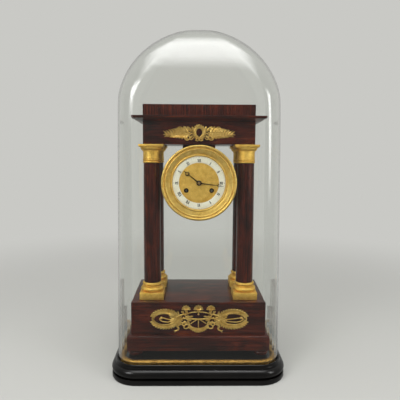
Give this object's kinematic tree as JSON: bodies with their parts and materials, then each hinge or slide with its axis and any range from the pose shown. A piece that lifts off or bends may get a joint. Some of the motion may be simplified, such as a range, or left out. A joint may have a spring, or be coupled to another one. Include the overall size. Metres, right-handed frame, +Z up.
{
  "type": "mantel clock",
  "caption": "Portico mantel clock with a round dial and drum movement hung between columns, under a lift-off glass dome on a rounded base.",
  "frame": {"origin": "bottom centre of the round-cornered base, on the surface it stands on", "axes": "+Z up, +Y from the dial to the back of the clock, +X to the right of a person who faces the dial"},
  "size_m": [0.3358, 0.246, 0.6699],
  "materials": {
    "ebonised_wood": "black satin polish",
    "mahogany": "deep red-brown French polish",
    "gilt": "matt and burnished gilding on bronze",
    "brass": "lacquered brass",
    "bell_metal": "turned bell metal",
    "steel": "polished steel",
    "blued_steel": "dark blued steel",
    "enamel": "white fired enamel",
    "glass": "clear blown glass"
  },
  "bodies": {
    "stand_and_case": {"socle": "ebonised_wood", "platform": "ebonised_wood", "platform_fillet": "gilt", "bun_feet": "mahogany", "lower_plinth": "mahogany", "plinth_front": "mahogany", "plinth_back": "mahogany", "plinth_sides": "mahogany", "plinth_top": "mahogany", "column_base_fl": "gilt", "column_base_fr": "gilt", "column_base_rl": "gilt", "column_base_rr": "gilt", "column_fl": "mahogany", "column_fr": "mahogany", "column_rl": "mahogany", "column_rr": "mahogany", "capital_fl": "gilt", "capital_fr": "gilt", "capital_rl": "gilt", "capital_rr": "gilt", "soffit": "mahogany", "frieze_front": "mahogany", "frieze_back": "mahogany", "frieze_ends": "mahogany", "cornice_cove": "mahogany", "cornice_slab": "mahogany", "attic": "mahogany", "upper_mount": "gilt", "lower_mount": "gilt", "drum_case": "brass", "drum_saddle": "mahogany", "back_ring": "brass", "straps": "steel", "strap_screws": "steel", "bezel": "gilt", "dial_plate": "gilt", "chapter_ring": "enamel", "front_plate": "brass", "back_plate": "brass", "pillars": "brass", "clicks": "steel", "suspension_cock": "brass", "bell": "bell_metal"},
    "dome": {"glass_dome": "glass"},
    "back_cap": {"back_cap": "gilt"},
    "minute_arbor": {"centre_wheel": "brass", "minute_hand": "blued_steel", "hand_collet": "brass", "hand_pin": "steel"},
    "hour": {"hour_wheel": "brass", "hour_hand": "blued_steel"},
    "minute_wheel": {"minute_wheel": "brass"},
    "intermediate": {"intermediate_wheel": "brass"},
    "going_barrel": {"going_barrel": "brass"},
    "strike_barrel": {"strike_barrel": "brass"},
    "going_winding": {"going_winding_arbor": "steel"},
    "strike_winding": {"strike_winding_arbor": "steel"},
    "verge": {"verge": "steel"},
    "hammer": {"hammer": "steel"}
  },
  "joints": [
    {"name": "dome_lift", "type": "slide", "parent": "stand_and_case", "child": "dome", "axis": [0, 0, 1], "range_m": [0, 0.5]},
    {"name": "cap_pull", "type": "slide", "parent": "stand_and_case", "child": "back_cap", "axis": [0, 1, 0], "range_m": [0, 0.05]},
    {"name": "minute_turn", "type": "hinge", "parent": "stand_and_case", "child": "minute_arbor", "pos_m": [0, 0, 0.3727], "axis": [0, 1, 0], "continuous": true},
    {"name": "hour_turn", "type": "hinge", "parent": "stand_and_case", "child": "hour", "pos_m": [0, 0, 0.3727], "axis": [0, 1, 0], "continuous": true},
    {"name": "minute_wheel_turn", "type": "hinge", "parent": "stand_and_case", "child": "minute_wheel", "pos_m": [0, 0, 0.3877], "axis": [0, 1, 0], "continuous": true},
    {"name": "intermediate_turn", "type": "hinge", "parent": "stand_and_case", "child": "intermediate", "pos_m": [0.01988, 0, 0.37948], "axis": [0, 1, 0], "continuous": true},
    {"name": "going_barrel_turn", "type": "hinge", "parent": "stand_and_case", "child": "going_barrel", "pos_m": [0.0241, 0, 0.3583], "axis": [0, 1, 0], "continuous": true},
    {"name": "strike_barrel_turn", "type": "hinge", "parent": "stand_and_case", "child": "strike_barrel", "pos_m": [-0.0241, 0, 0.3583], "axis": [0, 1, 0], "continuous": true},
    {"name": "going_wind", "type": "hinge", "parent": "stand_and_case", "child": "going_winding", "pos_m": [0.0241, 0, 0.3583], "axis": [0, 1, 0], "continuous": true},
    {"name": "strike_wind", "type": "hinge", "parent": "stand_and_case", "child": "strike_winding", "pos_m": [-0.0241, 0, 0.3583], "axis": [0, 1, 0], "continuous": true},
    {"name": "verge_rock", "type": "hinge", "parent": "stand_and_case", "child": "verge", "pos_m": [0, 0, 0.4067], "axis": [0, 1, 0], "range_deg": [-3.5, 3.5]},
    {"name": "hammer_lift", "type": "hinge", "parent": "stand_and_case", "child": "hammer", "pos_m": [-0.0345, 0, 0.3927], "axis": [0, 1, 0], "range_deg": [0, 12]}
  ],
  "couplings": [
    {"joint": "hour_turn", "follows": "minute_turn", "ratio": 0.083333},
    {"joint": "minute_wheel_turn", "follows": "minute_turn", "ratio": -0.33333},
    {"joint": "intermediate_turn", "follows": "minute_turn", "ratio": -0.16667},
    {"joint": "going_barrel_turn", "follows": "minute_turn", "ratio": 0.02381}
  ]
}
